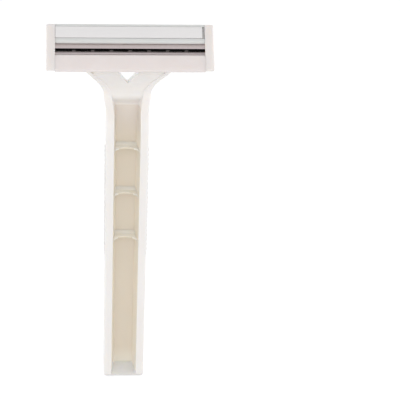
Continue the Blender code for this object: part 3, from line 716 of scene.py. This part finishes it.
cap = {"lip": 1.27 * mm, "cover": 1.47 * mm, "heel": 0.2 * mm, "behindBlade": 0.3 * mm,
       "edgeRadius": 0.2 * mm, "lipRadius": 0.6 * mm, "recessRadius": 0.1 * mm, "easedEdge": 0.06 * mm}
# The profile of a post's flattened end is in shares of its radius and height
post = {
    "spacing": 31.2 * mm, "up": 9.8 * mm, "radius": 0.55 * mm, "headRadius": 1.5 * mm, "headHeight": 0.8 * mm,
    "seatRadius": 1.7 * mm, "root": 1.2 * mm, "holeStart": -5 * mm, "holeEnd": 15 * mm,
    "profile": ((0.93, 0.0), (1.0, 0.12), (1.0, 0.42), (0.95, 0.68), (0.8, 0.9), (0.6, 1.0), (0.4, 0.97),
                (0.18, 0.86), (0.0, 0.82)),
}
strip = {"height": 2.84 * mm, "thickness": 0.75 * mm, "proud": 0.12 * mm, "shift": 0.3 * mm,
         "endPlay": 0.35 * mm, "groove": 0.3 * mm, "edgeRadius": 0.2 * mm, "spread": 0.2 * mm,
         "easedEdge": 0.06 * mm}
rinse = {"size": 1.5 * mm, "below": 0.7 * mm}

tilt = Matrix.Rotation(-math.radians(head["tilt"]), 4, "X")
overPlate = tilt @ Vector((0.0, head["depth"], head["height"] - head["topFall"] - head["railOverPlate"]))
railPoint = Vector((0.0, backY(plateTopZ), plateTopZ + head["snapGap"]))
headFrame = Matrix.Translation(railPoint - overPlate) @ tilt

bladeTan = math.tan(math.radians(blade["angle"]))
bladeAlong = Vector((math.sin(math.radians(blade["angle"])), math.cos(math.radians(blade["angle"]))))
bladeOut = Vector((-bladeAlong.y, bladeAlong.x))
lowerEdge = Vector((blade["inward"], blade["up"]))
upperEdge = lowerEdge + Vector((-blade["step"], blade["rise"]))
bladeLift = (upperEdge - lowerEdge).dot(bladeOut)
bladeLead = (upperEdge - lowerEdge).dot(bladeAlong)
frameHalf = head["width"] / 2 - endCap["width"] - head["endGap"]
capBack = upperEdge.x + blade["width"] * bladeAlong.x + blade["thickness"] + cap["behindBlade"]
capLow = upperEdge.y + cap["cover"]
stripLow = capLow + cap["lip"]
seatOut = -(blade["thickness"] + head["fitGap"])
floorOut = seatOut - guard["floor"]
railLow = head["height"] - head["topFall"] - head["rail"]


def onBlade(along, out):  # a point of the head's side view, by its way along the lower blade and out of it
    return lowerEdge + bladeAlong * along + bladeOut * out


def inAt(up, out):  # how deep a plane parallel to the blades lies, at one height of the face
    start = onBlade(0.0, out)
    return start.x + (up - start.y) * bladeTan


def topAt(depth):
    return head["height"] - head["topFall"] * depth / head["depth"]


spotIn = inAt(post["up"], floorOut)


def atPost(turned, side, depth=0.0):  # its axis points into the head
    place = Matrix.Translation((side * post["spacing"] / 2, depth, post["up"]))
    turned.matrix_world = headFrame @ place @ Matrix.Rotation(math.radians(-90), 4, "X")
    return bake(turned)


def roundBar(name, radius, start, end, side):  # a cylinder between two depths of the head
    return atPost(lathe(name, [(0.0, start), (radius, start), (radius, end), (0.0, end)]), side)


def postHoles():
    radius = post["radius"] + head["postGap"]
    return [roundBar("post_hole", radius, post["holeStart"], post["holeEnd"], side) for side in (-1, 1)]


def behindPlate():
    return spread(shoulderZ - head["overrun"], plateTopZ + head["snapGap"], head["row"])


def headSlab(name, points, material):  # as long as the head between its end caps
    return slab(name, points, 2 * frameHalf, sidePlane, (0, 0, 0), material, headFrame)


def sideTrim(name, points, reach, width, frameOf=None):
    far = points[0][0] + reach
    outline = list(points) + [(far, points[-1][1]), (far, points[0][1])]
    if reach > 0:
        outline = outline[::-1]
    return slab(name, outline, width, sidePlane, (0, 0, 0), styrene["frame"], frameOf)


def rearTrim():
    points = [(backY(z) - head["lugSunk"], z) for z in behindPlate()]
    return sideTrim("rear_trim", points, head["past"], head["width"])


def frontTrim():
    middle = seatOut - guard["floor"] / 2
    bend = onBlade(0.0, middle)
    level = bend.y + (guard["depth"] / 2 - bend.x) / bladeTan
    points = [(guard["depth"] / 2, -head["overrun"]), (guard["depth"] / 2, level),
              (inAt(head["height"], middle), head["height"])]
    return sideTrim("front_trim", points, -head["past"], head["width"], headFrame)


def rinseHole(side):
    inner = plate["topWidth"] / 2 + head["fitGap"]
    top = plateTopZ - rinse["below"]
    outer = inner + rinse["size"]
    points = [(side * x, up) for x, up in ((inner, top), (outer, top), (outer, top - rinse["size"]))]
    centre = (0, backY(top) - head["depth"], 0)
    return slab("rinse_cut", points, 2 * head["depth"], uprightPlane, centre, styrene["frame"])


def makeEar(side):
    half = ear["height"] / 2
    radius = (half ** 2 + ear["bulge"] ** 2) / (2 * ear["bulge"])
    sweep = math.asin(half / radius)
    centreX = plate["width"] / 2 + ear["gap"] + ear["thickness"] - radius + ear["bulge"]
    middle = shoulderZ + head["snapGap"] + half
    arc = spread(-sweep, sweep, sweep / 12)
    points = [(centreX + radius * math.cos(a), middle + radius * math.sin(a)) for a in arc]
    inner = radius - ear["thickness"]
    points += [(centreX + inner * math.cos(a), middle + inner * math.sin(a)) for a in arc[::-1]]
    points = [(side * x, up) for x, up in points]
    wall = slab("ear", points, head["past"], uprightPlane, (0, backY(middle), 0), styrene["frame"])
    return carve(wall, "DIFFERENCE", rearTrim(), frontTrim())


def makeLug(side):
    moon = halfMoon(plate["windowRadius"] - 2 * head["lugGap"], side)
    centre = (side * plate["windowSpacing"] / 2, backY(windowZ), windowZ + head["lugGap"])
    lug = slab("lug", moon, head["past"], uprightPlane, centre, styrene["frame"])
    return carve(lug, "DIFFERENCE", rearTrim(), frontTrim())


def makeHeadFrame():
    seatLow = guard["height"] + guard["step"]
    seatFront = inAt(seatLow, seatOut)
    wallIn = capBack + head["fitGap"]
    seatStart = onBlade(0.0, seatOut)
    corners = [
        (0.0, 0.0, guard["edgeRadius"]), (0.0, guard["height"], guard["topRadius"]),
        (seatFront + head["fitGap"], guard["height"], 0.0), (seatFront, seatLow, 0.0),
        (wallIn, seatStart.y + (wallIn - seatStart.x) / bladeTan, 0.0),
        (wallIn, topAt(wallIn), guard["smallRadius"]),
        (head["depth"], topAt(head["depth"]), guard["railRadius"]), (head["depth"], railLow, 0.0),
        (inAt(railLow, floorOut), railLow, 0.0), (inAt(guard["rear"], floorOut), guard["rear"], 0.0),
        (guard["depth"], guard["rear"], guard["smallRadius"]),
        (guard["depth"], guard["heel"], guard["edgeRadius"]),
    ]
    body = headSlab("head_frame_moulding", rounded(corners), styrene["frame"])
    front = [(backY(z) - plate["thickness"] - head["snapGap"], z) for z in behindPlate()]
    pocket = sideTrim("plate_pocket", front, head["past"], plate["width"] + 2 * head["snapGap"])
    carve(body, "DIFFERENCE", pocket, rinseHole(-1), rinseHole(1))
    deep, gap = head["depth"], head["fitGap"]
    for side in (-1, 1):
        seat = roundBar("spot_seat", post["seatRadius"], spotIn - deep, spotIn + gap, side)
        carve(seat, "DIFFERENCE", frontTrim())
        carve(body, "UNION", makeEar(side), makeLug(side), seat)
    for side in (-1, 1):
        hole = roundBar("post_hole", post["radius"] + head["postGap"], -deep, 2 * deep, side)
        carve(body, "DIFFERENCE", hole)
        face = roundBar("spot_face", post["seatRadius"] + gap, spotIn, spotIn + deep, side)
        carve(body, "DIFFERENCE", face)
    body.data.materials.clear()
    body.data.materials.append(styrene["frame"])
    easeEdges(body, head["edgeRadius"], angle=50.0)
    # Painted light: the frame's faces that point back are painted a paler, warmer white, for light bounced
    # onto them
    paintBehind(body, styrene["frameLitBehind"])
    return deliver(smoothed(body, 40.0), ["head_frame"])


def makeEndCap(name, side):
    corners = [(-endCap["proud"], endCap["rise"], endCap["cornerRadius"]),
               (-endCap["proud"], topAt(-endCap["proud"]), endCap["cornerRadius"]),
               (head["depth"], topAt(head["depth"]), endCap["cornerRadius"]),
               (head["depth"], endCap["heel"], endCap["cornerRadius"])]
    centre = (side * (head["width"] / 2 - endCap["width"] / 2), 0, 0)
    made = slab(name + "_end_cap_moulding", rounded(corners, 8), endCap["width"], sidePlane, centre,
                styrene["endCap"], headFrame)
    outer = head["width"] / 2 - head["tolerance"]
    easeEdges(made, endCap["edgeRadius"], 5, chosen=lambda point: side * point.x > outer)
    return deliver(smoothed(made, 50.0), [name + "_end_cap"])


def makeBlade(name, lead, out, node):
    thickness = blade["thickness"]
    honed, rise = lead + blade["honed"], blade["honedRise"]
    points = [onBlade(lead, out - thickness / 2), onBlade(honed, out - rise),
              onBlade(lead + blade["edge"], out), onBlade(lead + blade["width"], out),
              onBlade(lead + blade["width"], out - thickness), onBlade(lead + blade["edge"], out - thickness),
              onBlade(honed, out - thickness + rise)]
    made = headSlab(name, points, bladeSteel)
    holes = postHoles()
    if node == "lower_blade":
        holes += [rinseHole(-1), rinseHole(1)]
    carve(made, "DIFFERENCE", *holes)
    made.data.materials.clear()
    made.data.materials.append(bladeSteel)
    made.data.materials.append(edgeSteel)
    back = headFrame.inverted()
    limit = lead + blade["edge"] - head["tolerance"]
    for face in made.data.polygons:  # the ground wedge at the edge
        spot = back @ face.center
        if (Vector((spot.y, spot.z)) - lowerEdge).dot(bladeAlong) < limit:
            face.material_index = 1
    return deliver(smoothed(made, 20.0), [node])


def makeSpacer():
    low = head["fitGap"]
    high = bladeLift - blade["thickness"] - head["fitGap"]
    points = [onBlade(spacer["setback"], low), onBlade(spacer["setback"] + spacer["width"], low),
              onBlade(spacer["setback"] + spacer["width"], high), onBlade(spacer["setback"], high)]
    made = headSlab("blade_spacer_moulding", points, styrene["spacer"])
    at = onBlade(spacer["setback"], high)
    across, up = spacer["slotLength"] / 2, spacer["slotWidth"] / 2
    first = -(spacer["slots"] - 1) / 2 * spacer["pitch"]
    centre = (first, at.x, at.y - up)
    outline = [(-across, -up), (across, -up), (across, up), (-across, up)]
    slot = slab("spacer_slots", outline, spacer["slotDepth"], uprightPlane, centre, styrene["slot"],
                headFrame)
    repeat(slot, spacer["slots"], (spacer["pitch"], 0, 0), styrene["slot"])
    # Painted light: the cut slot walls keep the slots' grey, so the slots show lighter in the black spacer
    carve(made, "DIFFERENCE", slot, paint="TRANSFER")
    carve(made, "DIFFERENCE", *postHoles())
    return deliver(smoothed(made), ["blade_spacer"])


def makeCap():
    under = bladeLift + head["fitGap"]
    bladeEnd = onBlade(bladeLead + blade["width"] + head["bladeEndGap"], under)
    recess = strip["thickness"] - strip["proud"] + head["fitGap"]
    stripTop = stripLow + strip["groove"] + strip["height"] + head["fitGap"]
    corners = [
        (inAt(capLow, under), capLow, 0.0), (0.0, capLow, cap["lipRadius"]),
        (0.0, stripLow, cap["recessRadius"]), (recess, stripLow, 0.0),
        (recess, stripTop, 0.0), (0.0, stripTop, cap["recessRadius"]),
        (0.0, head["height"], cap["edgeRadius"]), (capBack, topAt(capBack), guard["smallRadius"]),
        (capBack, bladeEnd.y + cap["heel"], 0.0), (bladeEnd.x, bladeEnd.y, 0.0),
    ]
    made = headSlab("cap_moulding", rounded(corners), styrene["cap"])
    easeEdges(made, cap["easedEdge"], angle=60.0)
    # Painted light: the cap's faces that point back are painted the paler handle white, for light bounced
    # onto them
    paintBehind(made, styrene["white"])
    return deliver(smoothed(made, 40.0), ["cap"])


def makePostHeads():  # pushed flat by a hot tool, which leaves a low dome with a dimple and a rolled edge
    profile = [(0.0, -post["root"]), (post["radius"], -post["root"]), (post["radius"], 0.0)]
    profile += [(across * post["headRadius"], up * post["headHeight"]) for across, up in post["profile"]]
    for name, side in (("left", -1), ("right", 1)):
        made = lathe(name + "_post_head", profile, 48)
        made.data.materials.append(styrene["cap"])
        atPost(made, side, spotIn + head["fitGap"])
        deliver(smoothed(made, 50.0))


def makeStrip():
    low = stripLow + strip["groove"] - strip["spread"]
    high = stripLow + strip["groove"] + strip["height"] + strip["spread"] / 4
    back = strip["thickness"] - strip["proud"]
    corners = [(-strip["proud"], low, strip["edgeRadius"]), (-strip["proud"], high, strip["edgeRadius"]),
               (back, high, 0.0), (back, low, 0.0)]
    length = 2 * (frameHalf - strip["endPlay"])
    made = slab("lubricating_strip_polymer", rounded(corners), length, sidePlane, (-strip["shift"], 0, 0),
                stripPolymer, headFrame)
    easeEdges(made, strip["easedEdge"], angle=60.0)
    return deliver(smoothed(made, 40.0), ["lubricating_strip"])


makeHeadFrame()
makeEndCap("left", -1)
makeEndCap("right", 1)
makeBlade("lower_blade_strip", 0.0, 0.0, "lower_blade")
makeBlade("upper_blade_strip", bladeLead, bladeLift, "upper_blade")
makeSpacer()
makeCap()
makePostHeads()
makeStrip()
print("head made")


# Floor, lamps and camera. Each lamp is its power and its place across and in; all are at one height.
studio = {
    "floorColour": "#F7F7F7", "floorShare": 0.3, "floorWhite": 0.82, "floorSize": 8.0,
    "worldColour": "#FFFFFF", "worldStrength": 0.56, "lampHeight": 0.3, "lampSize": 0.5,
    "lamps": {
        "key_softbox": (1.0, -0.3, -0.65), "fill_softbox": (0.9, 0.35, -0.62),
        "left_softbox": (1.4, -0.65, 0.12), "right_softbox": (1.4, 0.65, 0.12),
    },
}
view = {"distance": 302.4 * mm, "elevation": 21.44, "azimuth": 2.8, "roll": 0.95, "aim": 54.42 * mm,
        "focalPixels": 1077.0, "framePixels": 400, "column": 125.6, "sensor": 36.0, "near": 0.01, "far": 20.0}


# The background is pure white to the camera, and its light on the razor is set apart from that
def seenDirectly(tree):
    path = addNode(tree, "ShaderNodeLightPath")
    direct = addNode(tree, "ShaderNodeMath", settings={"operation": "MAXIMUM"},
                     links={0: path.outputs["Is Camera Ray"], 1: path.outputs["Is Glossy Ray"]})
    seen = addNode(tree, "ShaderNodeMath", settings={"operation": "MAXIMUM"},
                   links={0: direct.outputs[0], 1: path.outputs["Is Transmission Ray"]})
    return seen.outputs[0]


def paleFloor():
    made, tree, place = startMaterial("pale_floor")
    share = studio["floorShare"]
    plain = addNode(tree, "ShaderNodeBsdfDiffuse", sockets={"Color": linear(studio["floorColour"])})
    soft = addNode(tree, "ShaderNodeBsdfDiffuse", sockets={"Color": (share, share, share, 1.0)})
    glow = addNode(tree, "ShaderNodeEmission", sockets={"Strength": studio["floorWhite"]})
    lit = addNode(tree, "ShaderNodeAddShader", links={0: soft.outputs[0], 1: glow.outputs[0]})
    return endMaterial(made, tree, "ShaderNodeMixShader", {},
                       {0: seenDirectly(tree), 1: plain.outputs[0], 2: lit.outputs[0]})


def makeFloor():
    shape = bmesh.new()
    half = studio["floorSize"] / 2
    corners = ((-half, -half), (half, -half), (half, half), (-half, half))
    shape.faces.new([shape.verts.new((x, y, 0.0)) for x, y in corners])
    floor = objectFrom("floor", shape)
    floor.data.materials.append(paleFloor())


def makeWorld():
    world = bpy.data.worlds.new("plain_studio")
    world.use_nodes = True
    tree = world.node_tree
    tree.nodes.clear()
    light = addNode(tree, "ShaderNodeBackground",
                    sockets={"Strength": studio["worldStrength"], "Color": linear(studio["worldColour"])})
    white = addNode(tree, "ShaderNodeBackground", sockets={"Strength": 1.0, "Color": (1.0, 1.0, 1.0, 1.0)})
    shown = addNode(tree, "ShaderNodeMixShader",
                    links={0: seenDirectly(tree), 1: light.outputs[0], 2: white.outputs[0]})
    addNode(tree, "ShaderNodeOutputWorld", links={"Surface": shown.outputs[0]})
    bpy.context.scene.world = world


def makeLamp(name, power, x, y):
    data = bpy.data.lights.new(name, "AREA")
    data.shape = "DISK"
    data.size = studio["lampSize"]
    data.energy = power
    lamp = bpy.data.objects.new(name, data)
    bpy.context.scene.collection.objects.link(lamp)
    place = Vector((x, y, studio["lampHeight"]))
    aim = Vector((0, 0, view["aim"])) - place
    lamp.matrix_world = Matrix.Translation(place) @ aim.to_track_quat("-Z", "Y").to_matrix().to_4x4()


def makeCamera():
    data = bpy.data.cameras.new("photo_view")
    data.sensor_width = view["sensor"]
    data.lens = view["focalPixels"] * view["sensor"] / view["framePixels"]
    data.shift_x = (view["framePixels"] / 2 - view["column"]) / view["framePixels"]
    data.clip_start = view["near"]
    data.clip_end = view["far"]
    camera = bpy.data.objects.new("photo_view", data)
    bpy.context.scene.collection.objects.link(camera)
    up = math.radians(view["elevation"])
    orbit = Matrix.Rotation(-math.radians(view["azimuth"]), 4, "Z")
    place = Vector((0, -view["distance"] * math.cos(up), view["aim"] + view["distance"] * math.sin(up)))
    turn = Matrix.Rotation(math.pi / 2 - up, 4, "X") @ Matrix.Rotation(math.radians(view["roll"]), 4, "Z")
    camera.matrix_world = orbit @ Matrix.Translation(place) @ turn
    bpy.context.scene.camera = camera


makeFloor()
makeWorld()
for name, (power, x, y) in studio["lamps"].items():
    makeLamp(name, power, x, y)
makeCamera()
scene = bpy.context.scene
scene.view_settings.view_transform = "Standard"
print("studio made")
